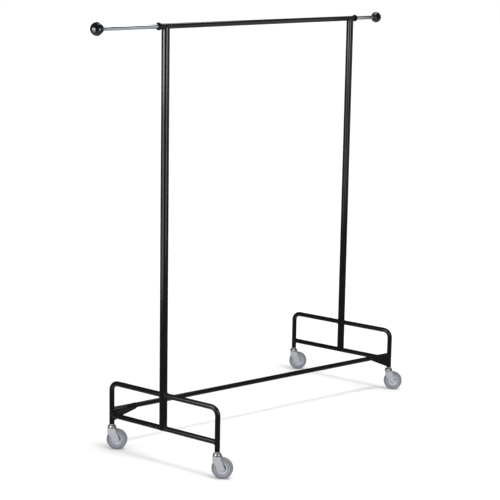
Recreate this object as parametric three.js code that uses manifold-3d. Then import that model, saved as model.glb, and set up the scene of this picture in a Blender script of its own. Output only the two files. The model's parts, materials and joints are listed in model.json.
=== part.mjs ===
// Rolling garment rack: two welded end frames joined by a top rail and a diagonal brace,
// with a pull-out rod at each end of the rail and a swivel caster under each leg.
// Millimetres, +Z up, X along the rail, floor at Z = 0.

import * as THREE from 'three';
import { mergeVertices } from 'three/addons/utils/BufferGeometryUtils.js';
import Module from 'manifold-3d';

const wasm = await Module();
wasm.setup();

// ---- Driving dimensions ----

const SPAN = 1250;              // between the two upright axes
const FOOT_SPACING = 478;       // between the two leg axes of one end frame
const GAP = 0.3;                // air between touching pieces

const LEG_END_Z = 96;
const LOW_RAIL_Z = 129;
const BRACE_Z = 149;
const HOOP_TOP_Z = 253;
const RAIL_Z = 1560;

const TUBE = { outer: 9.525, inner: 8.0, sides: 12 };
const UPRIGHT = { outer: 14.3, inner: 12.8, sides: 20, below: 5, above: 5 };
const RAIL = { outer: 9.525, inner: 8.0, spigot: 9.2, sides: 16, overhang: 39 };
const HOOP_BEND = 28.5;
const BEND_STEPS = 5;

const GUSSET = { length: 90, drop: 60, railSideDrop: 43, sheet: 1.5, sides: 8 };
const GUSSET_SCREWS = { at: [40, 53], drop: 8 };
const SCREW = { head: 3.2, crown: 1.92, shank: 2.0, rise: 1.4, length: 5, sides: 10 };

const COLLAR = { radius: 13.75, thickness: 6, bore: 7.75, seat: 3, round: 1.4, sides: 20 };
const ROD = { outer: 7.3, inner: 6.2, length: 371, sides: 16 };
const GLIDE = { head: 7.7, headLength: 12, spigot: 5.8, spigotLength: 15 };
const STOP_SCREW = { inboard: 20, tip: 7.55, shank: 1.9 };
const KNOB = { radius: 22.5, face: 21, midRadius: 17.6, faceRadius: 10.8, bore: 7.7, depth: 15 };
const KNOB_SIDES = 20;
const REACH = { left: 355, right: 221 };    // knob centre beyond the upright axis

const WHEEL = { radius: 38.1, tread: 6, half: 10.5, sides: 24 };
const TYRE = { sideDrop: 3.2, sideTaper: 1, shoulderDrop: 0.8, shoulderInset: 1.6 };
const CORE = { rim: 31, rimHalf: 9.2, dish: 20, webHalf: 2, hub: 9.5, hubHalf: 11.2, bore: 6.1 };
const AXLE = { shank: 4, head: 6, headFace: 4.2, headHeight: 2, sides: 12 };
const SLEEVE = { outer: 5.7, inner: 4.3, half: 11.7 };
const FORK = { half: 14.5, sheet: 2.5, crownZ: 80, shoulderZ: 64, end: 11.5, hole: 4.45 };
const BEARING = { radius: 13.5, height: 2 };
const KINGPIN = { shank: 4.75, head: 6.2, headHeight: 2.2, topZ: 121, sides: 12 };
const RACE = { radius: 15.4, bottomZ: 82.3, sideZ: 87.5, shoulder: 12.8, shoulderZ: 91.2, topZ: 93.2 };
const INSERT = { plug: 7.6, plugLength: 30, flange: 9.2, flangeHeight: 2.2 };
const TRAIL = 19;

// Which way each caster trails, in degrees from +X.
const CASTERS = [
  { name: 'left_front', x: -1, y: -1, trailing: -68 },
  { name: 'left_rear', x: -1, y: 1, trailing: -61 },
  { name: 'right_rear', x: 1, y: 1, trailing: -60 },
  { name: 'right_front', x: 1, y: -1, trailing: -62 },
];

// ---- Finishes ----

const finish = (color, roughness, metalness) =>
  new THREE.MeshStandardMaterial({ color, roughness, metalness });
const powderCoat = () => finish(0x151618, 0.35, 0.1);
const chrome = () => finish(0xc9cdd2, 0.12, 1.0);
const blackPlastic = () => finish(0x101113, 0.18, 0.0);
const whitePlastic = () => finish(0xd8d8d2, 0.5, 0.0);
const zincSteel = () => finish(0xb4b8bc, 0.35, 0.9);
const screwSteel = () => finish(0x8f8f88, 0.35, 0.9);
const tyreRubber = () => finish(0x7f8284, 0.75, 0.0);
const hubPlastic = () => finish(0x9da2b0, 0.5, 0.0);

// ---- Shape helpers ----

// Turned piece about Y. Radii are those of the true circle, which lies inside the
// many-sided solid, and the flats face the other two axes.
function turned(profile, sides) {
  const widen = 1 / Math.cos(Math.PI / sides);
  const points = profile.map(([radius, height]) => new THREE.Vector2(radius * widen, height));
  return new THREE.LatheGeometry(points, sides, Math.PI / sides);
}

const alongZ = (geometry) => geometry.rotateX(Math.PI / 2);
const alongX = (geometry) => geometry.rotateZ(-Math.PI / 2);

const rodProfile = (radius, from, to) => [[0, from], [radius, from], [radius, to], [0, to]];
const tubeProfile = (outer, inner, from, to) =>
  [[inner, from], [outer, from], [outer, to], [inner, to], [inner, from]];

function toSolid(geometry) {
  const bare = geometry.clone();
  bare.deleteAttribute('normal');
  bare.deleteAttribute('uv');
  const merged = mergeVertices(bare, 1e-4);
  const corners = merged.index.array;
  const kept = [];
  for (let i = 0; i < corners.length; i += 3) {
    const [a, b, c] = corners.slice(i, i + 3);
    if (a !== b && b !== c && c !== a) kept.push(a, b, c);
  }
  return new wasm.Manifold(new wasm.Mesh({
    numProp: 3,
    vertProperties: new Float32Array(merged.attributes.position.array),
    triVerts: new Uint32Array(kept),
  }));
}

function fromSolid(solid) {
  const mesh = solid.getMesh();
  const geometry = new THREE.BufferGeometry();
  geometry.setAttribute('position', new THREE.BufferAttribute(mesh.vertProperties, 3));
  geometry.setIndex(new THREE.BufferAttribute(mesh.triVerts, 1));
  return geometry;
}

function joined(...geometries) {
  return fromSolid(geometries.map(toSolid).reduce((whole, part) => whole.add(part)));
}

function cut(geometry, ...tools) {
  return fromSolid(tools.map(toSolid).reduce((whole, tool) => whole.subtract(tool), toSolid(geometry)));
}

// Path given by stations, each with its point and its direction.
class StationPath extends THREE.Curve {
  constructor(stations) {
    super();
    this.stations = stations;
  }

  station(u) {
    return this.stations[Math.round(u * (this.stations.length - 1))];
  }

  getPointAt(u, target = new THREE.Vector3()) {
    return target.copy(this.station(u).point);
  }

  getTangentAt(u, target = new THREE.Vector3()) {
    return target.copy(this.station(u).direction);
  }
}

function polygon(radius, sides) {
  const points = [];
  for (let i = 0; i < sides; i += 1) {
    const angle = (2 * Math.PI * (i + 0.5)) / sides;
    const reach = radius / Math.cos(Math.PI / sides);
    points.push(new THREE.Vector2(reach * Math.cos(angle), reach * Math.sin(angle)));
  }
  return points;
}

function mesh(name, geometry, material) {
  const piece = new THREE.Mesh(geometry, material);
  piece.name = name;
  return piece;
}

// ---- End frames ----

const footY = FOOT_SPACING / 2;
const halfSpan = SPAN / 2;

function uprightGeometry() {
  const { outer, inner, sides, below, above } = UPRIGHT;
  const tube = alongZ(turned(tubeProfile(outer, inner, LOW_RAIL_Z - below, RAIL_Z - above), sides));
  const lowRail = turned(rodProfile(TUBE.outer + GAP, -footY, footY), TUBE.sides);
  const hangRail = alongX(turned(rodProfile(RAIL.outer + GAP, -footY, footY), RAIL.sides));
  return cut(tube, lowRail.translate(0, 0, LOW_RAIL_Z), hangRail.translate(0, 0, RAIL_Z));
}

// Half of the inverted U: out from the upright towards -Y, round the bend and down the leg.
function hoopHalfGeometry() {
  const bendY = -(footY - HOOP_BEND);
  const bendZ = HOOP_TOP_Z - HOOP_BEND;
  const outward = new THREE.Vector3(0, -1, 0);
  const stations = [{ point: new THREE.Vector3(0, 0, HOOP_TOP_Z), direction: outward }];
  for (let i = 0; i <= BEND_STEPS; i += 1) {
    const turn = (Math.PI / 2) * (i / BEND_STEPS);
    const y = bendY - HOOP_BEND * Math.sin(turn);
    const z = bendZ + HOOP_BEND * Math.cos(turn);
    const direction = new THREE.Vector3(0, -Math.cos(turn), -Math.sin(turn));
    stations.push({ point: new THREE.Vector3(0, y, z), direction });
  }
  const down = new THREE.Vector3(0, 0, -1);
  stations.push({ point: new THREE.Vector3(0, -footY, LEG_END_Z), direction: down });

  const section = new THREE.Shape(polygon(TUBE.outer, TUBE.sides));
  section.holes.push(new THREE.Path(polygon(TUBE.inner, TUBE.sides)));
  const hoop = new THREE.ExtrudeGeometry(section, {
    steps: stations.length - 1,
    extrudePath: new StationPath(stations),
  });
  const upright = alongZ(turned(
    rodProfile(UPRIGHT.outer + GAP, LOW_RAIL_Z, RAIL_Z),
    UPRIGHT.sides,
  ));
  return cut(hoop, upright);
}

function legCutter(y) {
  const leg = turned(rodProfile(TUBE.outer + GAP, LEG_END_Z, HOOP_TOP_Z), TUBE.sides);
  return alongZ(leg).translate(0, y, 0);
}

function lowRailGeometry() {
  const rail = turned(tubeProfile(TUBE.outer, TUBE.inner, -footY, footY), TUBE.sides);
  return cut(rail.translate(0, 0, LOW_RAIL_Z), legCutter(-footY), legCutter(footY));
}

// ---- Diagonal brace, from the left rear leg to the right front leg ----

const braceAngle = Math.atan2(-FOOT_SPACING, SPAN);
const braceRun = Math.hypot(SPAN, FOOT_SPACING);
const gussetEnd = GUSSET.length + TUBE.outer;

function braceGeometry() {
  const reach = braceRun / 2 - gussetEnd - GAP;
  const brace = turned(tubeProfile(TUBE.outer, TUBE.inner, -reach, reach), TUBE.sides);
  return alongX(brace).translate(0, 0, BRACE_Z);
}

// Cuts one flange of a gusset along its sloping lower edge; sign is the flange's side of Y.
function flangeTrim(drop, sign) {
  const top = BRACE_Z + TUBE.outer;
  const below = top - 2 * GUSSET.drop;
  const outline = new THREE.Shape([
    new THREE.Vector2(-TUBE.outer, top - drop),
    new THREE.Vector2(-TUBE.outer, below),
    new THREE.Vector2(2 * gussetEnd, below),
    new THREE.Vector2(2 * gussetEnd, BRACE_Z - TUBE.outer),
    new THREE.Vector2(gussetEnd, BRACE_Z - TUBE.outer),
    new THREE.Vector2(TUBE.outer, top - drop),
  ]);
  const depth = 2 * TUBE.outer;
  const trim = new THREE.ExtrudeGeometry(outline, { depth, bevelEnabled: false });
  return trim.rotateX(Math.PI / 2).translate(0, sign > 0 ? depth : 0, 0);
}

// Sheet folded over the line of the brace, open below, that carries the brace down the leg.
// Local X runs from the leg axis along the brace. The flange at -Y stops at the low rail.
function gussetGeometry() {
  const outer = TUBE.outer;
  const inner = outer - GUSSET.sheet;
  const section = new THREE.Shape();
  section.moveTo(outer, -GUSSET.drop);
  section.lineTo(outer, 0);
  section.absarc(0, 0, outer, 0, Math.PI, false);
  section.lineTo(-outer, -GUSSET.drop);
  section.lineTo(-inner, -GUSSET.drop);
  section.lineTo(-inner, 0);
  section.absarc(0, 0, inner, Math.PI, 0, true);
  section.lineTo(inner, -GUSSET.drop);
  const options = { depth: gussetEnd, curveSegments: GUSSET.sides, bevelEnabled: false };
  const channel = new THREE.ExtrudeGeometry(section, options);
  channel.rotateY(Math.PI / 2).rotateX(Math.PI / 2).translate(0, 0, BRACE_Z);

  const lowRail = turned(rodProfile(outer + GAP, -FOOT_SPACING, 0), TUBE.sides);
  lowRail.translate(0, 0, LOW_RAIL_Z).rotateZ(-braceAngle);
  const screwZ = BRACE_Z + outer - GUSSET_SCREWS.drop;
  const holes = GUSSET_SCREWS.at.map((x) =>
    turned(rodProfile(SCREW.shank + GAP, -2 * outer, 0), SCREW.sides).translate(x, 0, screwZ));
  const flanges = [flangeTrim(GUSSET.railSideDrop, -1), flangeTrim(GUSSET.drop, 1)];
  return cut(channel, ...flanges, legCutter(0), lowRail, ...holes);
}

// Round-headed screw; the head stands out along -Y from y = 0.
function screwGeometry({ head, crown, shank, rise, length, sides }) {
  return turned([
    [0, -rise],
    [crown, -rise * 0.85],
    [head, -rise * 0.25],
    [head, 0],
    [shank, 0],
    [shank, length],
    [0, length],
  ], sides);
}

function addBrace(rack) {
  const brace = mesh('diagonal_brace', braceGeometry(), powderCoat());
  brace.rotation.z = braceAngle;
  rack.add(brace);

  const gusset = gussetGeometry();
  const screw = screwGeometry(SCREW);
  const ends = [['left', -1, 0], ['right', 1, Math.PI]];
  for (const [side, sign, turn] of ends) {
    const end = new THREE.Group();
    end.position.set(sign * halfSpan, -sign * footY, 0);
    end.rotation.z = braceAngle + turn;
    end.add(mesh(`brace_gusset_${side}`, gusset, powderCoat()));
    GUSSET_SCREWS.at.forEach((x, index) => {
      const name = `gusset_screw_${side}_${index + 1}`;
      const piece = mesh(name, screw, screwSteel());
      piece.position.set(x, -TUBE.outer - GAP, BRACE_Z + TUBE.outer - GUSSET_SCREWS.drop);
      end.add(piece);
    });
    rack.add(end);
  }
}

// ---- Top rail with its pull-out rods ----

// The rail's ends are turned down where they sit in the collars.
function hangRailGeometry() {
  const { outer, inner, spigot, sides, overhang } = RAIL;
  const half = halfSpan + overhang;
  const shoulder = half - COLLAR.seat - 2 * GAP;
  const tube = alongX(turned([
    [inner, -half],
    [spigot, -half],
    [spigot, -shoulder],
    [outer, -shoulder],
    [outer, shoulder],
    [spigot, shoulder],
    [spigot, half],
    [inner, half],
    [inner, -half],
  ], sides));
  const holes = [-1, 1].map((sign) =>
    turned(rodProfile(STOP_SCREW.shank + GAP, -2 * outer, 0), SCREW.sides)
      .translate(sign * (halfSpan - STOP_SCREW.inboard), 0, 0));
  return cut(tube, ...holes).translate(0, 0, RAIL_Z);
}

// Ring that caps the rail and guides the rod; its outer face looks along +X.
function collarGeometry() {
  const { radius, thickness, bore, seat, round, sides } = COLLAR;
  const socket = RAIL.spigot + 2 * GAP;
  return alongX(turned([
    [socket, 0],
    [radius - round, 0],
    [radius, round],
    [radius, thickness - round],
    [radius - round, thickness],
    [bore, thickness],
    [bore, seat + GAP],
    [socket, seat + GAP],
    [socket, 0],
  ], sides));
}

// Knob about X with a blind hole for the rod: half a ball, whose pole looks along +X, and a
// taper behind it.
function knobGeometry() {
  const { radius, face, midRadius, faceRadius, bore, depth } = KNOB;
  const profile = [[0, depth - face], [bore, depth - face], [bore, -face]];
  profile.push([faceRadius, -face], [midRadius, -face / 2]);
  const steps = 5;
  for (let i = 0; i < steps; i += 1) {
    const angle = (Math.PI / 2) * (i / steps);
    profile.push([radius * Math.cos(angle), radius * Math.sin(angle)]);
  }
  profile.push([0, radius]);
  return alongX(turned(profile, KNOB_SIDES));
}

function glideGeometry() {
  const { head, headLength, spigot, spigotLength } = GLIDE;
  return alongX(turned([
    [0, -headLength],
    [head, -headLength],
    [head, -GAP],
    [spigot, -GAP],
    [spigot, spigotLength],
    [0, spigotLength],
  ], ROD.sides));
}

function addRail(rack) {
  rack.add(mesh('hang_rail', hangRailGeometry(), powderCoat()));
  const stopScrew = screwGeometry({
    ...SCREW,
    shank: STOP_SCREW.shank,
    length: RAIL.outer + GAP - STOP_SCREW.tip,
  });
  for (const [side, turn] of [['left', Math.PI], ['right', 0]]) {
    const end = new THREE.Group();
    end.position.z = RAIL_Z;
    end.rotation.z = turn;

    const collar = mesh(`rail_collar_${side}`, collarGeometry(), blackPlastic());
    collar.position.x = halfSpan + RAIL.overhang - COLLAR.seat;
    const knob = mesh(`knob_${side}`, knobGeometry(), blackPlastic());
    knob.position.x = halfSpan + REACH[side];
    const rodEnd = knob.position.x - KNOB.face + KNOB.depth - GAP;
    const tube = turned(tubeProfile(ROD.outer, ROD.inner, -ROD.length, 0), ROD.sides);
    const rod = mesh(`extension_rod_${side}`, alongX(tube), chrome());
    rod.position.x = rodEnd;
    const glide = mesh(`rod_glide_${side}`, glideGeometry(), whitePlastic());
    glide.position.x = rodEnd - ROD.length;
    end.add(collar, knob, rod, glide);
    rack.add(end);

    const screw = mesh(`stop_screw_${side}`, stopScrew, screwSteel());
    const inboard = Math.cos(turn) * (halfSpan - STOP_SCREW.inboard);
    screw.position.set(inboard, -RAIL.outer - GAP, RAIL_Z);
    rack.add(screw);
  }
}

// ---- Casters. Local X is the trailing direction, Y the wheel axis ----

// Angle on a circle at which the line from an outside point touches it.
function touchAngle(centre, radius, point, side) {
  const away = point.clone().sub(centre);
  return away.angle() + side * Math.acos(radius / away.length());
}

function forkLegGeometry() {
  const { half, sheet, crownZ, shoulderZ, end } = FORK;
  const centre = new THREE.Vector2(TRAIL, WHEEL.radius);
  const rear = new THREE.Vector2(-half, shoulderZ);
  const front = new THREE.Vector2(half, crownZ - sheet);
  const from = touchAngle(centre, end, rear, 1);
  const to = touchAngle(centre, end, front, -1) + 2 * Math.PI;
  const outline = [new THREE.Vector2(-half, crownZ), rear];
  const steps = 7;
  for (let i = 0; i <= steps; i += 1) {
    const angle = from + (to - from) * (i / steps);
    const spoke = new THREE.Vector2(Math.cos(angle), Math.sin(angle)).multiplyScalar(end);
    outline.push(spoke.add(centre));
  }
  outline.push(front, new THREE.Vector2(half, crownZ));
  const options = { depth: sheet, bevelEnabled: false };
  const plate = new THREE.ExtrudeGeometry(new THREE.Shape(outline), options);
  return plate.rotateX(Math.PI / 2);
}

function forkGeometry() {
  const { half, sheet, crownZ, hole } = FORK;
  const crown = new THREE.BoxGeometry(2 * half, 2 * half, sheet).translate(0, 0, crownZ - sheet / 2);
  const bearing = alongZ(turned(
    rodProfile(BEARING.radius, crownZ - sheet / 2, crownZ + BEARING.height),
    WHEEL.sides,
  ));
  const nearLeg = forkLegGeometry().translate(0, -half + sheet, 0);
  const farLeg = forkLegGeometry().translate(0, half, 0);
  const pinHole = alongZ(turned(rodProfile(KINGPIN.shank + GAP, 0, LEG_END_Z), KINGPIN.sides));
  const axleHole = turned(rodProfile(hole, -2 * half, 2 * half), AXLE.sides);
  return cut(
    joined(crown, bearing, nearLeg, farLeg),
    pinHole,
    axleHole.translate(TRAIL, 0, WHEEL.radius),
  );
}

function axleGeometry() {
  const inner = FORK.half + GAP;
  const outer = inner + AXLE.headHeight;
  return turned([
    [0, -outer],
    [AXLE.headFace, -outer],
    [AXLE.head, -inner],
    [AXLE.shank, -inner],
    [AXLE.shank, inner],
    [AXLE.head, inner],
    [AXLE.headFace, outer],
    [0, outer],
  ], AXLE.sides);
}

// Wheel centre: each face slopes in from the rim to a web round the hub.
function coreGeometry() {
  const { rim, rimHalf, dish, webHalf, hub, hubHalf, bore } = CORE;
  return turned([
    [bore, -hubHalf],
    [hub, -hubHalf],
    [hub, -webHalf],
    [dish, -rimHalf],
    [rim, -rimHalf],
    [rim, rimHalf],
    [dish, rimHalf],
    [hub, webHalf],
    [hub, hubHalf],
    [bore, hubHalf],
    [bore, -hubHalf],
  ], WHEEL.sides);
}

function tyreGeometry() {
  const { radius, tread, half, sides } = WHEEL;
  const { sideDrop, sideTaper, shoulderDrop, shoulderInset } = TYRE;
  const inner = CORE.rim + GAP;
  return turned([
    [inner, -half + sideTaper],
    [radius - sideDrop, -half],
    [radius - shoulderDrop, -half + shoulderInset],
    [radius, -tread],
    [radius, tread],
    [radius - shoulderDrop, half - shoulderInset],
    [radius - sideDrop, half],
    [inner, half - sideTaper],
    [inner, -half + sideTaper],
  ], sides);
}

function kingpinGeometry() {
  const headTop = FORK.crownZ - FORK.sheet - GAP;
  return alongZ(turned([
    [0, headTop - KINGPIN.headHeight],
    [KINGPIN.head, headTop - KINGPIN.headHeight],
    [KINGPIN.head, headTop],
    [KINGPIN.shank, headTop],
    [KINGPIN.shank, KINGPIN.topZ],
    [0, KINGPIN.topZ],
  ], KINGPIN.sides));
}

function raceGeometry() {
  const bore = KINGPIN.shank + GAP;
  return alongZ(turned([
    [bore, RACE.bottomZ],
    [RACE.radius, RACE.bottomZ],
    [RACE.radius, RACE.sideZ],
    [RACE.shoulder, RACE.shoulderZ],
    [INSERT.flange, RACE.topZ],
    [bore, RACE.topZ],
    [bore, RACE.bottomZ],
  ], WHEEL.sides));
}

function insertGeometry() {
  const bore = KINGPIN.shank + GAP;
  const flangeTop = LEG_END_Z - GAP;
  return alongZ(turned([
    [bore, flangeTop - INSERT.flangeHeight],
    [INSERT.flange, flangeTop - INSERT.flangeHeight],
    [INSERT.flange, flangeTop],
    [INSERT.plug, flangeTop],
    [INSERT.plug, LEG_END_Z + INSERT.plugLength],
    [bore, LEG_END_Z + INSERT.plugLength],
    [bore, flangeTop - INSERT.flangeHeight],
  ], TUBE.sides));
}

function addCasters(rack) {
  const shapes = {
    insert: insertGeometry(),
    kingpin: kingpinGeometry(),
    race: raceGeometry(),
    fork: forkGeometry(),
    axle: axleGeometry(),
    sleeve: turned(tubeProfile(SLEEVE.outer, SLEEVE.inner, -SLEEVE.half, SLEEVE.half), AXLE.sides),
    core: coreGeometry(),
    tyre: tyreGeometry(),
  };
  for (const { name, x, y, trailing } of CASTERS) {
    const swivel = new THREE.Group();
    swivel.rotation.z = THREE.MathUtils.degToRad(trailing);
    swivel.add(mesh(`caster_fork_${name}`, shapes.fork, zincSteel()));
    const wheel = new THREE.Group();
    wheel.position.set(TRAIL, 0, WHEEL.radius);
    wheel.add(
      mesh(`wheel_axle_${name}`, shapes.axle, zincSteel()),
      mesh(`axle_sleeve_${name}`, shapes.sleeve, zincSteel()),
      mesh(`wheel_core_${name}`, shapes.core, hubPlastic()),
      mesh(`tyre_${name}`, shapes.tyre, tyreRubber()),
    );
    swivel.add(wheel);

    const foot = new THREE.Group();
    foot.position.set(x * halfSpan, y * footY, 0);
    foot.add(
      mesh(`leg_insert_${name}`, shapes.insert, zincSteel()),
      mesh(`kingpin_${name}`, shapes.kingpin, zincSteel()),
      mesh(`swivel_race_${name}`, shapes.race, chrome()),
      swivel,
    );
    rack.add(foot);
  }
}

// ---- The rack, standing on the floor with the middle of its outline at the origin ----

const rack = new THREE.Group();
const upright = uprightGeometry();
const hoopHalf = hoopHalfGeometry();
const lowRail = lowRailGeometry();
for (const [side, x] of [['left', -halfSpan], ['right', halfSpan]]) {
  const endFrame = new THREE.Group();
  endFrame.position.x = x;
  const rearHoop = mesh(`hoop_rear_${side}`, hoopHalf, powderCoat());
  rearHoop.rotation.z = Math.PI;
  endFrame.add(
    mesh(`upright_${side}`, upright, powderCoat()),
    mesh(`hoop_front_${side}`, hoopHalf, powderCoat()),
    rearHoop,
    mesh(`low_rail_${side}`, lowRail, powderCoat()),
  );
  rack.add(endFrame);
}
addBrace(rack);
addRail(rack);
addCasters(rack);

rack.updateMatrixWorld(true);
const middle = new THREE.Box3().setFromObject(rack, true).getCenter(new THREE.Vector3());
rack.position.set(-middle.x, -middle.y, 0);

export default rack;
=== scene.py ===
"""Looks for the rolling garment rack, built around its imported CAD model. Metres, +Z up."""

import json
import math

import bmesh
import bpy
from mathutils import Matrix, Vector


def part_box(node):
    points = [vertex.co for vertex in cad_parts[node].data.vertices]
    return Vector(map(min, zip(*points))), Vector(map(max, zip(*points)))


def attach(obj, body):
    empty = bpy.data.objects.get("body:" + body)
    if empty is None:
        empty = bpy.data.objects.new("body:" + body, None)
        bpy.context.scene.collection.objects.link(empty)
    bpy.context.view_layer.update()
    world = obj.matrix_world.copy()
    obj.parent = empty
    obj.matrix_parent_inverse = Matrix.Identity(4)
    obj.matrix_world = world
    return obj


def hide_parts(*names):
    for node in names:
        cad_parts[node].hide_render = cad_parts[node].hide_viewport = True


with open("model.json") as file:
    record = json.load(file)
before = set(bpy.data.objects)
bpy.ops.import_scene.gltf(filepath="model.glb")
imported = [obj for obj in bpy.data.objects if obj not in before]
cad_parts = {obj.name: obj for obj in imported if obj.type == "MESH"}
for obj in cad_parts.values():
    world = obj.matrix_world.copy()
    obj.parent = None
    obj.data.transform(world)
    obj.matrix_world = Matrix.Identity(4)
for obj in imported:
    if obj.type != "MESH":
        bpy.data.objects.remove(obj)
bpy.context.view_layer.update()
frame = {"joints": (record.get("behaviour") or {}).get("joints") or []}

MM = 0.001
SIDES = ("left", "right")
CASTERS = ("left_front", "left_rear", "right_rear", "right_front")

# ---- Places, from the frame ----


def middle(node):
    low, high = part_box(node)
    return (low + high) / 2


def half_size(node):
    low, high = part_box(node)
    return (high - low) / 2


AXIS = {side: middle(f"upright_{side}") for side in SIDES}
MID_Y = AXIS["left"].y
TUBE_R = half_size("low_rail_left").x
UPRIGHT_R = half_size("upright_left").x
RAIL_R = half_size("hang_rail").z
LOW_Z = middle("low_rail_left").z
RAIL_Z = middle("hang_rail").z
BRACE_Z = middle("diagonal_brace").z
HOOP_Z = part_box("hoop_front_left")[1].z - TUBE_R
LEG_END_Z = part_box("hoop_front_left")[0].z
FOOT_Y = middle("leg_insert_left_rear").y - MID_Y
JOINTS = {joint["name"]: joint for joint in frame["joints"]}

# ---- Sizes of the fine shape ----

WALL = 1.5 * MM
HOOP_BEND = 28.5 * MM
WELD = 2.0 * MM                 # radius of a weld bead
WELD_PITCH = 2.2 * MM           # from ripple to ripple
WELD_RIPPLE = 0.12              # height of the ripples, as a share of the radius
GUSSET_LENGTH = 90 * MM
GUSSET_DROP = 60 * MM
GUSSET_RAIL_SIDE_DROP = 43 * MM
GUSSET_SHEET = 1.5 * MM
ROUND = 48                      # points round a tube
SCREW_ROUND = 32
RAIL_ROUND = 64
WHEEL_ROUND = 72                # and round a knob
BEAD_ROUND = 8
BAR_BEAD_ROUND = 10
SHARP = 35                      # degrees at which shading breaks
WELD_SHARP = 60
TINY = 1e-9                     # shorter than this is no length


# ---- Materials ----

def set_stops(ramp, stops):
    """Sets a colour ramp node's stops: (position, colour) pairs."""
    band = ramp.color_ramp
    while len(band.elements) < len(stops):
        band.elements.new(0.5)
    for element, (position, color) in zip(band.elements, stops):
        element.position = position
        element.color = (*color, 1)


class Paint:
    """A Principled material whose nodes are added one call at a time."""

    NOISE_SPAN = (0.3, 0.7)     # where nearly all of a noise texture's values lie

    def __init__(self, name, color, **sockets):
        self.material = bpy.data.materials.new(name)
        self.material.use_nodes = True
        self.tree = self.material.node_tree
        self.shader = self.tree.nodes["Principled BSDF"]
        self.color = color
        self.shader.inputs["Base Color"].default_value = (*color, 1)
        for socket, value in sockets.items():
            self.shader.inputs[socket.replace("_", " ")].default_value = value
        self.place = self.node("ShaderNodeTexCoord").outputs["Object"]
        self.relief = None

    def node(self, kind, **inputs):
        made = self.tree.nodes.new(kind)
        for socket, value in inputs.items():
            made.inputs[socket].default_value = value
        return made

    def link(self, source, target):
        self.tree.links.new(source, target)

    def noise(self, scale, detail, rough=0.5, stretch=(1, 1, 1)):
        mapping = self.node("ShaderNodeMapping", Scale=stretch)
        self.link(self.place, mapping.inputs["Vector"])
        noise = self.node("ShaderNodeTexNoise", Scale=scale, Detail=detail, Roughness=rough)
        self.link(mapping.outputs["Vector"], noise.inputs["Vector"])
        return noise.outputs["Fac"]

    def vary_roughness(self, source, low, high):
        span = self.node("ShaderNodeMapRange")
        span.inputs["From Min"].default_value = self.NOISE_SPAN[0]
        span.inputs["From Max"].default_value = self.NOISE_SPAN[1]
        span.inputs["To Min"].default_value = low
        span.inputs["To Max"].default_value = high
        self.link(source, span.inputs["Value"])
        self.link(span.outputs["Result"], self.shader.inputs["Roughness"])

    def vary_color(self, source, dark, light):
        low = [c * dark for c in self.color]
        high = [min(1, c * light) for c in self.color]
        ramp = self.node("ShaderNodeValToRGB")
        set_stops(ramp, list(zip(self.NOISE_SPAN, (low, high))))
        self.link(source, ramp.inputs["Fac"])
        self.link(ramp.outputs["Color"], self.shader.inputs["Base Color"])

    def bump(self, source, depth, strength):
        """Adds relief, its depth in metres, to any that is there already."""
        bump = self.node("ShaderNodeBump", Strength=strength, Distance=depth)
        self.link(source, bump.inputs["Height"])
        if self.relief is not None:
            self.link(self.relief, bump.inputs["Normal"])
        self.relief = bump.outputs["Normal"]
        self.link(self.relief, self.shader.inputs["Normal"])


def powder_coat():
    """Semi-gloss black powder coat: fine orange peel and faint patches."""
    paint = Paint("powder_coat", (0.0062, 0.0064, 0.0074), Specular_IOR_Level=0.28)
    paint.vary_color(paint.noise(14, 5), 0.8, 1.25)
    paint.vary_roughness(paint.noise(12, 3), 0.14, 0.18)
    paint.bump(paint.noise(1300, 2), 0.03 * MM, 0.045)
    paint.bump(paint.noise(300, 2), 0.06 * MM, 0.025)
    return paint.material


def rod_chrome():
    """Drawn and plated rod with fine lines along its length."""
    paint = Paint("rod_chrome", (0.58, 0.62, 0.66), Metallic=1.0)
    paint.vary_roughness(paint.noise(40, 4), 0.12, 0.22)
    paint.vary_color(paint.noise(9, 4), 0.94, 1.05)
    paint.bump(paint.noise(1500, 2, stretch=(0.02, 1, 1)), 0.02 * MM, 0.25)
    return paint.material


def black_plastic(name, gloss, rough_span):
    """Moulded black plastic with faint flow marks and rub marks."""
    paint = Paint(name, (0.0045, 0.0048, 0.0056), Specular_IOR_Level=gloss)
    paint.vary_roughness(paint.noise(120, 5), *rough_span)
    paint.vary_color(paint.noise(30, 4), 0.8, 1.3)
    return paint


def knob_plastic():
    """Polished, with the slow swell of a thick moulding."""
    paint = black_plastic("black_plastic", 0.42, (0.05, 0.11))
    paint.bump(paint.noise(90, 2), 0.15 * MM, 0.06)
    return paint.material


def collar_plastic():
    """Matt from the mould."""
    paint = black_plastic("collar_plastic", 0.16, (0.25, 0.38))
    paint.bump(paint.noise(600, 2), 0.04 * MM, 0.2)
    return paint.material


def nylon():
    """White slide plastic, waxy."""
    paint = Paint("nylon", (0.66, 0.66, 0.6))
    paint.vary_roughness(paint.noise(300, 4), 0.42, 0.6)
    paint.vary_color(paint.noise(80, 3), 0.92, 1.05)
    paint.bump(paint.noise(900, 2), 0.04 * MM, 0.3)
    return paint.material


def zinc_plate():
    """Zinc on pressed steel: spangled mottling and fine scratches."""
    paint = Paint("zinc_plate", (0.48, 0.5, 0.53), Metallic=0.35)
    paint.vary_color(paint.noise(150, 6, 0.65), 0.86, 1.1)
    paint.vary_roughness(paint.noise(420, 4), 0.5, 0.68)
    paint.bump(paint.noise(700, 3), 0.08 * MM, 0.3)
    paint.bump(paint.noise(1100, 2, stretch=(1, 1, 0.06)), 0.03 * MM, 0.25)
    return paint.material


def race_chrome():
    """Darker plate on the turned race."""
    paint = Paint("race_chrome", (0.27, 0.275, 0.27), Metallic=0.85)
    paint.vary_roughness(paint.noise(300, 4), 0.26, 0.42)
    paint.vary_color(paint.noise(60, 3), 0.85, 1.1)
    paint.bump(paint.noise(500, 2), 0.04 * MM, 0.25)
    return paint.material


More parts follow.
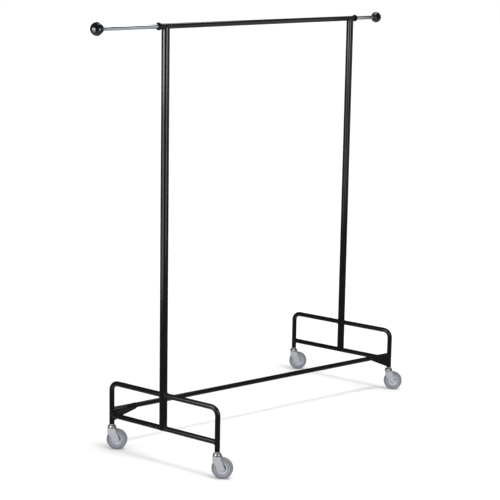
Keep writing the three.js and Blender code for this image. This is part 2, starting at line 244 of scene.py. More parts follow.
def screw_steel():
    """Dull brassy steel."""
    paint = Paint("screw_steel", (0.075, 0.065, 0.045), Metallic=0.5)
    paint.vary_color(paint.noise(500, 3), 0.7, 1.2)
    paint.vary_roughness(paint.noise(800, 3), 0.4, 0.62)
    paint.bump(paint.noise(1500, 2), 0.03 * MM, 0.3)
    return paint.material


def tyre_rubber():
    """Non-marking grey rubber: matt, mottled, a little dusty."""
    paint = Paint("tyre_rubber", (0.205, 0.213, 0.22), IOR=1.45)
    paint.vary_color(paint.noise(90, 6, 0.6), 0.84, 1.12)
    paint.vary_roughness(paint.noise(400, 4), 0.65, 0.85)
    paint.bump(paint.noise(1300, 3), 0.12 * MM, 0.4)
    return paint.material


def wheel_plastic(name, color, mottle, shades, rough_span):
    """Moulded wheel centre: cloudy colour and a fine spark-eroded grain."""
    paint = Paint(name, color)
    paint.vary_color(paint.noise(mottle, 4), *shades)
    paint.vary_roughness(paint.noise(500, 3), *rough_span)
    paint.bump(paint.noise(1000, 2), 0.06 * MM, 0.3)
    return paint.material


# Finish name: (material, the record's slot)
FINISHES = {
    "coat": (powder_coat(), "powder_coat"),
    "rod": (rod_chrome(), "chrome"),
    "knob": (knob_plastic(), "black_plastic"),
    "collar": (collar_plastic(), "black_plastic"),
    "nylon": (nylon(), "glide_plastic"),
    "zinc": (zinc_plate(), "zinc_plate"),
    "race": (race_chrome(), "race_chrome"),
    "screw": (screw_steel(), "screw_steel"),
    "tyre": (tyre_rubber(), "tyre_rubber"),
}
WHEEL_PLASTICS = (              # name, colour, mottle, shades, roughness
    ("rim", (0.29, 0.3, 0.36), 110, (0.92, 1.08), (0.42, 0.6)),
    ("dish", (0.8, 0.85, 0.9), 130, (0.92, 1.07), (0.38, 0.55)),
    # the hub colour is painted shade: the boss and web deep in the wheel are dark to stand in for
    # the fork's shadow and the shade in the recess
    ("hub", (0.15, 0.19, 0.2), 150, (0.88, 1.1), (0.38, 0.55)),
)
for part_name, *look in WHEEL_PLASTICS:
    FINISHES[part_name] = (wheel_plastic(f"{part_name}_plastic", *look), "wheel_plastic")


# ---- Mesh helpers ----

def outward(mesh):
    """Merges doubled points and turns every face outward."""
    work = bmesh.new()
    work.from_mesh(mesh)
    bmesh.ops.remove_doubles(work, verts=work.verts, dist=1e-7)
    bmesh.ops.recalc_face_normals(work, faces=work.faces)
    work.to_mesh(mesh)
    work.free()


def smoothed(mesh, sharp=SHARP):
    mesh.shade_smooth()
    mesh.set_sharp_from_angle(angle=math.radians(sharp))


def piece(name, shape, finish, body, nodes=(), sharp=SHARP):
    """Makes an object of (vertices, faces) that rides on a body and stands for CAD nodes."""
    vertices, faces = shape
    mesh = bpy.data.meshes.new(name)
    mesh.from_pydata([tuple(v) for v in vertices], [], faces)
    outward(mesh)
    smoothed(mesh, sharp)
    material, slot = FINISHES[finish]
    mesh.materials.append(material)
    made = bpy.data.objects.new(name, mesh)
    bpy.context.scene.collection.objects.link(made)
    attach(made, body)
    if nodes:
        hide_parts(*nodes)
    return made


def merged(*shapes):
    """One (vertices, faces) of several."""
    vertices, faces = [], []
    for more_vertices, more_faces in shapes:
        start = len(vertices)
        vertices += more_vertices
        faces += [tuple(start + i for i in face) for face in more_faces]
    return vertices, faces


def moved(shape, matrix):
    vertices, faces = shape
    return [matrix @ Vector(v) for v in vertices], faces


def loft(rings, closed=False):
    """Skins equal rings of points. Open lofts get a face on each end."""
    count = len(rings[0])
    vertices = [point for ring in rings for point in ring]
    faces = []
    pairs = len(rings) if closed else len(rings) - 1
    for i in range(pairs):
        a, b = i * count, ((i + 1) % len(rings)) * count
        for j in range(count):
            k = (j + 1) % count
            faces.append((a + j, a + k, b + k, b + j))
    if not closed:
        faces.append(tuple(reversed(range(count))))
        faces.append(tuple(range((len(rings) - 1) * count, len(rings) * count)))
    return vertices, faces


def softened(profile, radius, steps):
    """An outline's corners rounded to the radius. A closed outline repeats its first point."""
    most = 0.45                 # share of a side that one corner may take
    points = [Vector(p) for p in profile]
    closed = (points[0] - points[-1]).length < TINY
    if closed:
        points.pop()
    out = []
    for i, corner in enumerate(points):
        if not closed and i in (0, len(points) - 1):
            out.append(corner)
            continue
        before = points[i - 1] - corner
        after = points[(i + 1) % len(points)] - corner
        reach = min(radius, most * before.length, most * after.length)
        start = corner + before.normalized() * reach
        end = corner + after.normalized() * reach
        for step in range(steps + 1):
            t = step / steps
            out.append(start * (1 - t) ** 2 + corner * 2 * t * (1 - t) + end * t * t)
    if closed:
        out.append(out[0])
    return out


def turned(profile, around=ROUND):
    """Surface of revolution about Z of (radius, height) points."""
    points = [Vector(p) for p in profile]
    closed = (points[0] - points[-1]).length < TINY
    if closed:
        points.pop()
    vertices, faces, rings = [], [], []
    for radius, height in points:
        if radius < TINY:
            rings.append([len(vertices)] * around)
            vertices.append(Vector((0, 0, height)))
            continue
        rings.append(list(range(len(vertices), len(vertices) + around)))
        for i in range(around):
            angle = 2 * math.pi * i / around
            vertices.append(Vector((radius * math.cos(angle), radius * math.sin(angle), height)))
    for i in range(len(rings) if closed else len(rings) - 1):
        a, b = rings[i], rings[(i + 1) % len(rings)]
        for j in range(around):
            k = (j + 1) % around
            face = []
            for index in (a[j], a[k], b[k], b[j]):
                if index not in face:
                    face.append(index)
            if len(face) > 2:
                faces.append(tuple(face))
    return vertices, faces


def facing(point, direction):
    """Matrix that puts a shape's Z axis along a direction, with its origin at a point."""
    turn = Vector(direction).to_track_quat("Z", "Y").to_matrix().to_4x4()
    return Matrix.Translation(point) @ turn


def circle(centre, across, up, radius, around=ROUND):
    ring = []
    for i in range(around):
        angle = 2 * math.pi * i / around
        ring.append(centre + across * (radius * math.cos(angle)) + up * (radius * math.sin(angle)))
    return ring


def tube(centres, across, radius, trims=(None, None)):
    """Tube with its bore along points in one plane; across is that plane's normal.
    A trim moves an end's points along the tube, as a function of their place."""
    directions = []
    for i, centre in enumerate(centres):
        ahead = centres[min(i + 1, len(centres) - 1)] - centre
        behind = centre - centres[max(i - 1, 0)]
        directions.append((ahead.normalized() + behind.normalized()).normalized())
    skins = []
    for skin_radius in (radius, radius - WALL):
        rings = []
        for centre, direction in zip(centres, directions):
            rings.append(circle(centre, across, across.cross(direction), skin_radius))
        for end, trim in ((0, trims[0]), (-1, trims[1])):
            if trim:
                rings[end] = [trim(point) for point in rings[end]]
        skins.append(rings)
    outer, inner = skins
    return loft(outer + inner[::-1], closed=True)


def ripple(length):
    """Swell of a weld bead at a length along it."""
    return 1 + WELD_RIPPLE * math.sin(2 * math.pi * length / WELD_PITCH)


def bead(path, radius=WELD):
    """Closed weld bead along a loop of points, with the ripples of its laying."""
    around = BEAD_ROUND
    count = len(path)
    length = 0
    side = None
    rings = []
    for i, centre in enumerate(path):
        ahead = path[(i + 1) % count]
        direction = (ahead - path[i - 1]).normalized()
        if side is None:
            side = direction.orthogonal().normalized()
        else:
            side = (side - direction * side.dot(direction)).normalized()
        swell = radius * ripple(length)
        rings.append(circle(centre, side, direction.cross(side), swell, around))
        length += (ahead - centre).length
    vertices, faces = loft(rings, closed=True)
    # the last ring meets the first with the smallest twist
    first, last = rings[0], rings[-1]
    shift = min(range(around), key=lambda s: (first[s] - last[0]).length)
    base = (count - 1) * around
    faces = [face for face in faces if not (min(face) < around and max(face) >= base)]
    for j in range(around):
        k = (j + 1) % around
        faces.append((base + j, base + k, (k + shift) % around, (j + shift) % around))
    return vertices, faces


def bar_bead(start, end, radius=0.6 * WELD):
    """Straight weld bead with round ends."""
    direction = (end - start).normalized()
    side = direction.orthogonal().normalized()
    up = direction.cross(side)
    length = (end - start).length
    steps = max(8, int(length / (0.35 * WELD_PITCH)))
    rings = []
    for i in range(steps + 1):
        t = i / steps
        taper = math.sqrt(max(0.04, min(1, 6 * t, 6 * (1 - t))))
        swell = radius * ripple(t * length) * taper
        rings.append(circle(start + direction * (t * length), side, up, swell, BAR_BEAD_ROUND))
    return loft(rings)


# ---- End frames ----

X, Y, Z = Vector((1, 0, 0)), Vector((0, 1, 0)), Vector((0, 0, 1))
STRADDLE = 0.98 * TUBE_R        # the upright reaches below the low rail beyond this offset


def saddle(radius, offset):
    """How far short of a cylinder's axis a tube ends, at an offset across that axis."""
    return math.sqrt(max(radius ** 2 - offset ** 2, 0))


def add_upright(side):
    axis = AXIS[side]
    low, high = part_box(f"upright_{side}")

    def foot(point):
        point = point.copy()
        offset = abs(point.x - axis.x)
        point.z = LOW_Z + saddle(TUBE_R, offset) if offset < STRADDLE else low.z
        return point

    def head(point):
        point = point.copy()
        point.z = min(high.z, RAIL_Z - saddle(RAIL_R, point.y - axis.y))
        return point

    heights = (low.z, LOW_Z + 2 * TUBE_R, RAIL_Z - 2 * RAIL_R, high.z)
    centres = [Vector((axis.x, axis.y, z)) for z in heights]
    shape = tube(centres, X, UPRIGHT_R, (foot, head))
    piece(f"upright_{side}_tube", shape, "coat", "frame", [f"upright_{side}"])


def add_hoops(side):
    axis = AXIS[side]
    for end, sign in (("front", -1), ("rear", 1)):
        def seat(point):
            point = point.copy()
            point.y = axis.y + sign * saddle(UPRIGHT_R, point.x - axis.x)
            return point

        centres = [Vector((axis.x, axis.y + sign * UPRIGHT_R, HOOP_Z))]
        steps = 12
        for i in range(steps + 1):
            turn = math.pi / 2 * i / steps
            y = FOOT_Y - HOOP_BEND + HOOP_BEND * math.sin(turn)
            z = HOOP_Z - HOOP_BEND + HOOP_BEND * math.cos(turn)
            centres.append(Vector((axis.x, axis.y + sign * y, z)))
        centres.append(Vector((axis.x, axis.y + sign * FOOT_Y, LEG_END_Z)))
        shape = tube(centres, X, TUBE_R, (seat, None))
        piece(f"hoop_{end}_{side}_tube", shape, "coat", "frame", [f"hoop_{end}_{side}"])


def add_low_rail(side):
    axis = AXIS[side]

    def trim(sign):
        def end(point):
            point = point.copy()
            point.y = axis.y + sign * (FOOT_Y - saddle(TUBE_R, point.x - axis.x))
            return point
        return end

    reach = FOOT_Y - TUBE_R
    centres = [Vector((axis.x, axis.y + y, LOW_Z)) for y in (-reach, reach)]
    shape = tube(centres, X, TUBE_R, (trim(-1), trim(1)))
    piece(f"low_rail_{side}_tube", shape, "coat", "frame", [f"low_rail_{side}"])


def ring_on_cylinder(centre, run, across, small, large, steps=72):
    """Loop where a tube along run, of radius small, meets a cylinder of radius large whose
    axis crosses it through centre, at right angles to run and across."""
    along = run.cross(across)
    points = []
    for i in range(steps):
        angle = 2 * math.pi * i / steps
        offset = small * math.cos(angle)
        height = small * math.sin(angle)
        points.append(centre + across * offset + along * height + run * saddle(large, offset))
    return points


def add_welds(side):
    axis = AXIS[side]
    stand_off = 0.3 * WELD          # from a tube's face to the middle of a bead on it
    shapes = []
    for sign in (-1, 1):
        on_upright = Vector((axis.x, axis.y, HOOP_Z))
        hoop = ring_on_cylinder(on_upright, Y * sign, X, TUBE_R + stand_off, UPRIGHT_R)
        on_leg = Vector((axis.x, axis.y + sign * FOOT_Y, LOW_Z))
        low_rail = ring_on_cylinder(on_leg, Y * -sign, X, TUBE_R, TUBE_R + stand_off)
        shapes += [bead(hoop), bead(low_rail)]

    on_rail = Vector((axis.x, axis.y, RAIL_Z))
    highest = RAIL_Z - 0.35 * RAIL_R
    head = ring_on_cylinder(on_rail, -Z, Y, UPRIGHT_R, RAIL_R, 96)
    for point in head:
        point.z = min(point.z, highest)
    shapes.append(bead(head, 0.8 * WELD))

    on_low_rail = Vector((axis.x, axis.y, LOW_Z))
    beside, lowest = TUBE_R + 0.2 * MM, LOW_Z - 4 * MM
    foot = ring_on_cylinder(on_low_rail, Z, X, UPRIGHT_R, TUBE_R, 96)
    for point in foot:
        if abs(point.x - axis.x) > STRADDLE:
            point.z = lowest
            point.x = axis.x + math.copysign(beside, point.x - axis.x)
    shapes.append(bead(foot, 0.6 * WELD))
    piece(f"welds_{side}", merged(*shapes), "coat", "frame", sharp=WELD_SHARP)


for one_side in SIDES:
    add_upright(one_side)
    add_hoops(one_side)
    add_low_rail(one_side)
    add_welds(one_side)


# ---- Diagonal brace and its gussets ----

GUSSET_END = GUSSET_LENGTH + TUBE_R     # from the leg's axis to the gusset's far end
EDGE = 0.35 * MM                # bevel on sheet edges
BEVEL_ANGLE = 40                # degrees


def leg_axis(name):
    centre = middle(f"leg_insert_{name}")
    return Vector((centre.x, centre.y, 0))


def extruded(outline, low, high):
    """Prism of an (x, z) outline between two y values."""
    rings = [[Vector((x, y, z)) for x, z in outline] for y in (low, high)]
    return loft(rings)


def apply_modifiers(target):
    graph = bpy.context.evaluated_depsgraph_get()
    graph.update()
    fresh = bpy.data.meshes.new_from_object(target.evaluated_get(graph))
    old = target.data
    target.modifiers.clear()
    target.data = fresh
    bpy.data.meshes.remove(old)


def carve(target, tool_shapes):
    """Cuts shapes out of a piece and removes them."""
    for vertices, faces in tool_shapes:
        mesh = bpy.data.meshes.new("tool")
        mesh.from_pydata([tuple(v) for v in vertices], [], faces)
        outward(mesh)
        tool = bpy.data.objects.new("tool", mesh)
        bpy.context.scene.collection.objects.link(tool)
        cut = target.modifiers.new("cut", "BOOLEAN")
        cut.operation = "DIFFERENCE"
        cut.solver = "EXACT"
        cut.object = tool
        apply_modifiers(target)
        bpy.data.objects.remove(tool)
        bpy.data.meshes.remove(mesh)


def bevelled(target):
    bevel = target.modifiers.new("edges", "BEVEL")
    bevel.width = EDGE
    bevel.segments = 2
    bevel.limit_method = "ANGLE"
    bevel.angle_limit = math.radians(BEVEL_ANGLE)
    apply_modifiers(target)
    smoothed(target.data)


def add_brace():
    start, end = leg_axis("left_rear"), leg_axis("right_front")
    along = (end - start).normalized()
    across = Z.cross(along)
    height = Z * BRACE_Z
    centres = [start + along * GUSSET_END + height, end - along * GUSSET_END + height]
    shape = tube(centres, across, TUBE_R)
    piece("diagonal_brace_tube", shape, "coat", "frame", ["diagonal_brace"])
    for side, foot, toward in (("left", start, along), ("right", end, -along)):
        add_gusset(side, foot, toward)


def gusset_trim(drop, sign):
    """What lies below the sloping edge of the gusset's flange on one side of Y."""
    edge = BRACE_Z + TUBE_R - drop
    under = BRACE_Z - TUBE_R
    outline = [
        (-TUBE_R, edge), (-TUBE_R, 0), (2 * GUSSET_END, 0), (2 * GUSSET_END, under),
        (GUSSET_END, under), (TUBE_R, edge),
    ]
    return extruded(outline, *sorted((0, sign * 2 * TUBE_R)))


def gusset_sheet():
    """The whole fold: a half-round top and two straight flanges."""
    inner = TUBE_R - GUSSET_SHEET
    steps = 24
    turns = [math.pi * i / steps for i in range(steps + 1)]
    arch = [(math.cos(turn), math.sin(turn)) for turn in turns]
    section = [(1, -GUSSET_DROP / TUBE_R), *arch, (-1, -GUSSET_DROP / TUBE_R)]
    rings = []
    for x in (0, GUSSET_END):
        outside = [Vector((x, TUBE_R * y, BRACE_Z + TUBE_R * z)) for y, z in section]
        inside = [Vector((x, inner * y, BRACE_Z + inner * z)) for y, z in section]
        rings.append(outside + inside[::-1])
    return loft(rings)


def add_gusset(side, foot, toward):
    """Sheet folded over the line of the brace; local X runs from the leg along the brace."""
    place = Matrix.Translation(foot) @ Matrix.Rotation(math.atan2(toward.y, toward.x), 4, "Z")
    gusset = piece(
        f"brace_gusset_{side}_plate", moved(gusset_sheet(), place), "coat", "frame",
        [f"brace_gusset_{side}"],
    )
    leg = [(0, 0), (TUBE_R, 0), (TUBE_R, HOOP_Z), (0, HOOP_Z)]
    low_rail = [(0, -FOOT_Y), (TUBE_R, -FOOT_Y), (TUBE_R, FOOT_Y), (0, FOOT_Y)]
    carve(gusset, [
        moved(gusset_trim(GUSSET_RAIL_SIDE_DROP, -1), place),
        moved(gusset_trim(GUSSET_DROP, 1), place),
        moved(turned(leg), Matrix.Translation(foot)),
        moved(turned(low_rail), facing(Vector((foot.x, MID_Y, LOW_Z)), Y)),
    ])
    bevelled(gusset)

    across = Z.cross(toward)
    far_end = foot + toward * GUSSET_END + Z * BRACE_Z
    beads = [bead(circle(far_end, across, Z, TUBE_R - 0.2 * WELD, 72), 0.6 * WELD)]
    top = BRACE_Z + 0.4 * TUBE_R
    for sign, bottom in ((-1, LOW_Z + TUBE_R), (1, BRACE_Z + TUBE_R - GUSSET_DROP)):
        lean = math.asin(sign * 0.9)    # where a flange leaves the leg
        touch = toward * math.cos(lean) + across * math.sin(lean)
        point = foot + touch * (TUBE_R + 0.05 * WELD)
        beads.append(bar_bead(point + Z * bottom, point + Z * top))
    piece(f"gusset_welds_{side}", merged(*beads), "coat", "frame", sharp=WELD_SHARP)


add_brace()


# ---- Screws and rivets ----

SCREW_R = 3.2 * MM
SCREW_RISE = 1.4 * MM
SCREW_SHANK = 1.9 * MM
GUSSET_SCREW_LENGTH = 4 * MM
STOP_SCREW_LENGTH = 1.8 * MM


def pan_head(length):
    """Screw about Z, its head standing up from z = 0."""
    outline = [
        (0, SCREW_RISE), (SCREW_R * 0.8, SCREW_RISE * 0.82), (SCREW_R, 0), (SCREW_SHANK, 0),
        (SCREW_SHANK, -length), (0, -length),
    ]
    return turned(softened(outline, 0.25 * SCREW_R, 5), SCREW_ROUND)


def cross_recess():
    """The two slots of the cross, each a box."""
    arm, width = 0.55 * SCREW_R, 0.16 * SCREW_R     # half lengths
    bottom, top = SCREW_RISE - 0.55 * SCREW_RISE, 2 * SCREW_RISE
    slot = extruded([(-arm, bottom), (arm, bottom), (arm, top), (-arm, top)], -width, width)
    return [moved(slot, Matrix.Rotation(turn, 4, "Z")) for turn in (0, math.pi / 2)]


def add_screw(node, point, direction, length):
    place = facing(point, direction)
    screw = piece(f"{node}_head", moved(pan_head(length), place), "screw", "frame", [node])
    carve(screw, [moved(slot, place) for slot in cross_recess()])
    smoothed(screw.data)


def add_screws():
    for side, foot_name, other in (
        ("left", "left_rear", "right_front"),
        ("right", "right_front", "left_rear"),
    ):
        foot = leg_axis(foot_name)
        along = (leg_axis(other) - foot).normalized()
        out = -Z.cross(along)
        for index in (1, 2):
            node = f"gusset_screw_{side}_{index}"
            seat = middle(node)
            run = (seat - foot).dot(along)
            point = foot + along * run + out * TUBE_R
            point.z = seat.z
            add_screw(node, point, out, GUSSET_SCREW_LENGTH)
        node = f"stop_screw_{side}"
        point = Vector((middle(node).x, MID_Y - RAIL_R, RAIL_Z))
        add_screw(node, point, -Y, STOP_SCREW_LENGTH)


def add_rail_rivets():
    """Two flat rivets in the outer face of the left low rail, behind the upright."""
    radius, rise, depth = 2.2 * MM, 0.9 * MM, 1 * MM
    outline = softened([
        (0, rise), (1.5 * MM, 0.7 * MM), (radius, 0), (radius, -depth), (0, -depth),
    ], 0.5 * MM, 3)
    for index, behind in ((1, 27 * MM), (2, 47 * MM)):
        point = AXIS["left"] + Vector((-TUBE_R, behind, 0))
        point.z = LOW_Z
        shape = moved(turned(outline, SCREW_ROUND), facing(point, -X))
        piece(f"rail_rivet_{index}", shape, "screw", "frame")


add_screws()
add_rail_rivets()


# ---- Rail, collars, rods and knobs ----

RAIL_SEAT = 3.6 * MM            # length of the rail's end inside a collar
SPIGOT_R = RAIL_R - 0.3 * MM    # radius there
RAIL_AXIS = Vector((0, MID_Y, RAIL_Z))
OUTBOARD = {"left": -1, "right": 1}


def add_rail():
    half = half_size("hang_rail").x
    shoulder = half - RAIL_SEAT
    bore = RAIL_R - WALL
    profile = softened([
        (bore, -half), (SPIGOT_R, -half), (SPIGOT_R, -shoulder), (RAIL_R, -shoulder),
        (RAIL_R, shoulder), (SPIGOT_R, shoulder), (SPIGOT_R, half), (bore, half), (bore, -half),
    ], 0.25 * MM, 3)
    shape = moved(turned(profile, RAIL_ROUND), facing(middle("hang_rail"), X))
    piece("hang_rail_tube", shape, "coat", "frame", ["hang_rail"])


def ends_along_x(node, side):
    """The node's inboard and outboard ends."""
    low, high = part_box(node)
    return (high.x, low.x) if side == "left" else (low.x, high.x)


def outboard_from(x, side):
    """Matrix that stands a turned shape on the rail's axis at x, pointing outboard."""
    return facing(RAIL_AXIS + X * x, X * OUTBOARD[side])


def add_collar(side):
    node = f"rail_collar_{side}"
    inboard, outboard = ends_along_x(node, side)
    face = abs(outboard - inboard)
    radius = half_size(node).z
    bore = half_size(f"extension_rod_{side}").z + 0.3 * MM
    socket, stop = RAIL_R + 0.05 * MM, 3.4 * MM
    profile = softened([
        (socket, 0), (radius, 0), (radius, 0.6 * face), (radius - 2.6 * MM, face),
        (radius - 3.6 * MM, face), (bore + 1.2 * MM, face - 1.6 * MM),
        (bore, face - 2 * MM), (bore, stop), (socket, stop), (socket, 0),
    ], 1.4 * MM, 6)
    shape = moved(turned(profile, RAIL_ROUND), outboard_from(inboard, side))
    piece(f"{node}_ring", shape, "collar", "frame", [node])


def dome(radius, steps=20):
    """Quarter circle from the middle of a ball up to its pole."""
    turns = [math.pi / 2 * i / steps for i in range(steps)]
    return [(radius * math.cos(turn), radius * math.sin(turn)) for turn in turns] + [(0, radius)]


def add_knob(side):
    """Half a ball outside; behind it a groove, a taper and a small flat face."""
    node = f"knob_{side}"
    inboard, outboard = ends_along_x(node, side)
    radius = half_size(node).z
    face = abs(outboard - inboard) - radius
    hole = half_size(f"extension_rod_{side}").z + 0.25 * MM
    taper = softened([
        (0, -6 * MM), (hole, -6 * MM), (hole, -face), (10.6 * MM, -face),
        (13.4 * MM, -face + 2.4 * MM), (17.8 * MM, -0.5 * face), (21.2 * MM, -3.6 * MM),
        (21.3 * MM, -2.4 * MM), (19.8 * MM, -2.2 * MM), (19.8 * MM, -1.3 * MM),
        (radius - 0.25 * MM, -1.1 * MM), (radius, 0),
    ], 0.8 * MM, 4)
    centre = outboard - OUTBOARD[side] * radius
    ball = turned(taper[:-1] + dome(radius), WHEEL_ROUND)
    piece(f"{node}_ball", moved(ball, outboard_from(centre, side)), "knob", f"rod_{side}", [node])


def add_rod(side):
    """The chrome tube and the glide in its inner end."""
    node = f"extension_rod_{side}"
    body = f"rod_{side}"
    inboard, outboard = ends_along_x(node, side)
    place = outboard_from(inboard, side)
    length = abs(outboard - inboard)
    radius = half_size(node).z
    bore = radius - 1.1 * MM
    profile = softened([
        (bore, 0), (radius, 0), (radius, length), (bore, length), (bore, 0),
    ], 0.4 * MM, 3)
    piece(f"{node}_tube", moved(turned(profile, RAIL_ROUND), place), "rod", body, [node])

    head, groove, plug = radius + 0.4 * MM, radius - 0.5 * MM, bore - 0.4 * MM
    profile = softened([
        (0, -12 * MM), (head - 1 * MM, -12 * MM), (head, -10.5 * MM), (head, -7.5 * MM),
        (groove, -7 * MM), (groove, -5 * MM), (head, -4.5 * MM), (head, -0.3 * MM),
        (plug, -0.3 * MM), (plug, 15 * MM), (0, 15 * MM),
    ], 0.3 * MM, 2)
    shape = moved(turned(profile), place)
    piece(f"rod_glide_{side}_plug", shape, "nylon", body, [f"rod_glide_{side}"])


add_rail()
for one_side in SIDES:
    add_collar(one_side)
    add_knob(one_side)
    add_rod(one_side)


# ---- Casters. Local X trails, local Y is the wheel axis ----

TRAIL = 19 * MM
WHEEL_R = half_size("tyre_left_front").z
FORK_HALF = 14.5 * MM
FORK_SHEET = 2.5 * MM
FORK_BEND = 3.6 * MM
CROWN_Z = 80 * MM
SHOULDER_Z = 64 * MM
FORK_END_R = 11.5 * MM

# Profiles in millimetres. Round the caster's pivot: (from the pivot, above the floor)
BOSS = ((5, 77.6), (13.6, 77.6), (13.6, 81.0), (12.4, 82.0), (5, 82.0), (5, 77.6))
RACE = (
    (5.05, 82.4), (14.3, 82.4), (14.5, 80.5), (15.9, 80.5), (16.1, 81.4), (15.4, 84.8),
    (14.2, 88.2), (11.8, 91.2), (9.6, 92.2), (9.2, 93.2), (5.05, 93.2), (5.05, 82.4),
)
INSERT = (
    (5.05, 93.5), (8.6, 93.5), (9.2, 94.2), (9.2, 95.7), (7.6, 95.7), (7.6, 126), (5.05, 126),
    (5.05, 93.5),
)
KINGPIN = (
    (0, 74.9), (4.6, 75.1), (6.1, 76.0), (6.1, 77.2), (4.75, 77.2), (4.75, 120.4), (4.2, 121),
    (0, 121),
)
# Round the axle: (from the axle, along it)
SLEEVE = ((4.1, -11.8), (5.8, -11.8), (5.8, 11.8), (4.1, 11.8), (4.1, -11.8))
TYRE = (
    (31.1, -9.2), (31.9, -9.9), (32.8, -10.4), (35.4, -10.2), (37.3, -8.7), (37.95, -6.4),
    (38.1, 0), (37.95, 6.4), (37.3, 8.7), (35.4, 10.2), (32.8, 10.4), (31.9, 9.9), (31.1, 9.2),
    (31.1, -9.2),
)
RIM = (
    (19.9, -6.0), (20.5, -8.6), (21.8, -9.4), (30.4, -9.5), (31.05, -9.0), (31.05, 9.0),
    (30.4, 9.5), (21.8, 9.4), (20.5, 8.6), (19.9, 6.0), (19.9, -6.0),
)
DISH = (
    (13.0, -1.4), (13.8, -2.4), (18.2, -8.2), (19.2, -8.6), (19.85, -8.2), (19.85, 8.2),
    (19.2, 8.6), (18.2, 8.2), (13.8, 2.4), (13.0, 1.4), (13.0, -1.4),
)
HUB = (
    (6.1, -11.3), (8.0, -11.3), (8.6, -10.5), (9.2, -1.8), (10.2, -1.2), (13.1, -1.2),
    (13.1, 1.2), (10.2, 1.2), (9.2, 1.8), (8.6, 10.5), (8.0, 11.3), (6.1, 11.3), (6.1, -11.3),
)


def touch_angle(point, side):
    """Angle on the fork's round end where the line from a point touches it."""
    away = Vector(point) - Vector((TRAIL, WHEEL_R))
    return math.atan2(away.y, away.x) + side * math.acos(FORK_END_R / away.length)


def fork_edges():
    """(z, rear x, front x) of the leg's side view, from the crown down to the round end."""
    rear, front = (-FORK_HALF, SHOULDER_Z), (FORK_HALF, CROWN_Z - FORK_SHEET)
    rear_touch, front_touch = touch_angle(rear, 1), touch_angle(front, -1)

    def edge(z, corner, touch, sign):
        corner_x, corner_z = corner
        touch_x = TRAIL + FORK_END_R * math.cos(touch)
        touch_z = WHEEL_R + FORK_END_R * math.sin(touch)
        if z >= corner_z:
            return corner_x
        if z >= touch_z:
            return corner_x + (touch_x - corner_x) * ((corner_z - z) / (corner_z - touch_z))
        return TRAIL + sign * saddle(FORK_END_R, z - WHEEL_R)

    pitch, rows, end_rows = 1.5 * MM, 23, 10
    heights = [CROWN_Z - FORK_SHEET - pitch * i for i in range(rows)]
    bottom = WHEEL_R - FORK_END_R
    last = heights[-1] - bottom
    for i in range(1, end_rows):
        heights.append(bottom + last * math.cos(math.pi / 2 * i / end_rows))
    heights.append(bottom + 0.02 * MM)
    return [(z, edge(z, rear, rear_touch, -1), edge(z, front, front_touch, 1)) for z in heights]


def fork_shape():
    """Pressed U-shaped fork: two legs, two round bends and the crown, as one bent sheet."""
    edges = [edge for edge in fork_edges() if edge[0] < CROWN_Z - FORK_BEND]
    # stations up one leg and over to the middle: (y, z, outward y, outward z, rear x, front x)
    path = [(-FORK_HALF, z, -1, 0, rear, front) for z, rear, front in reversed(edges)]
    steps = 8
    for i in range(steps + 1):
        turn = math.pi / 2 * i / steps
        y = -FORK_HALF + FORK_BEND - FORK_BEND * math.cos(turn)
        z = CROWN_Z - FORK_BEND + FORK_BEND * math.sin(turn)
        path.append((y, z, -math.cos(turn), math.sin(turn), -FORK_HALF, FORK_HALF))
    path += [(-y, z, -ny, nz, rear, front) for y, z, ny, nz, rear, front in reversed(path)]
    columns = 8
    rings = []
    for y, z, out_y, out_z, rear, front in path:
        outer, inner = [], []
        for j in range(columns + 1):
            x = rear + (front - rear) * j / columns
            outer.append(Vector((x, y, z)))
            inner.append(Vector((x, y - out_y * FORK_SHEET, z - out_z * FORK_SHEET)))
        rings.append(outer + inner[::-1])
    return loft(rings)


def rivet_profile():
    """Axle riveted over at both ends: low domes on a plain shank."""
    inner, outer = FORK_HALF / MM, FORK_HALF / MM + 2.2
    right = [
        (0, outer), (3.0, outer - 0.15), (5.2, outer - 0.8), (5.9, inner + 0.2), (5.9, inner),
        (4, inner),
    ]
    left = [(radius, -along) for radius, along in reversed(right)]
    return right + left


def turned_mm(profile, corner, steps, around=ROUND):
    """Surface of revolution of a profile in millimetres, its corners rounded."""
    outline = softened(profile, corner, steps)
    return turned([(radius * MM, height * MM) for radius, height in outline], around)


CASTER_TURNINGS = (             # node and piece, finish, profile, corner, steps, points round
    ("swivel_race_{}", "cup", "race", RACE, 0.8, 4, RAIL_ROUND),
    ("leg_insert_{}", "plug", "zinc", INSERT, 0.35, 2, ROUND),
    ("kingpin_{}", "rivet", "zinc", KINGPIN, 0.3, 2, ROUND),
)
AXLE_TURNINGS = (
    ("wheel_axle_{}", "rivet", "zinc", rivet_profile(), 0.4, 3, ROUND),
    ("axle_sleeve_{}", "tube", "zinc", SLEEVE, 0.3, 2, ROUND),
)
WHEEL_TURNINGS = (              # piece, finish, profile, corner, the node it stands for
    ("tyre", "tyre", TYRE, 1.0, "tyre_{}"),
    ("wheel_rim", "rim", RIM, 0.5, "wheel_core_{}"),
    ("wheel_dish", "dish", DISH, 0.4, None),
    # boss and web in the dark hub finish: painted shade in the wheel's deep recess
    ("wheel_hub_painted_shade", "hub", HUB, 0.4, None),
)


def add_turnings(rows, name, place, body):
    for pattern, kind, finish, profile, corner, steps, around in rows:
        node = pattern.format(name)
        shape = moved(turned_mm(profile, corner, steps, around), place)
        piece(f"{node}_{kind}", shape, finish, body, [node])


def add_wheel(name, on_axle):
    for part, finish, profile, corner, pattern in WHEEL_TURNINGS:
        nodes = [pattern.format(name)] if pattern else []
        shape = moved(turned_mm(profile, corner, 3, WHEEL_ROUND), on_axle)
        piece(f"{part}_{name}_moulding", shape, finish, f"wheel_{name}", nodes)


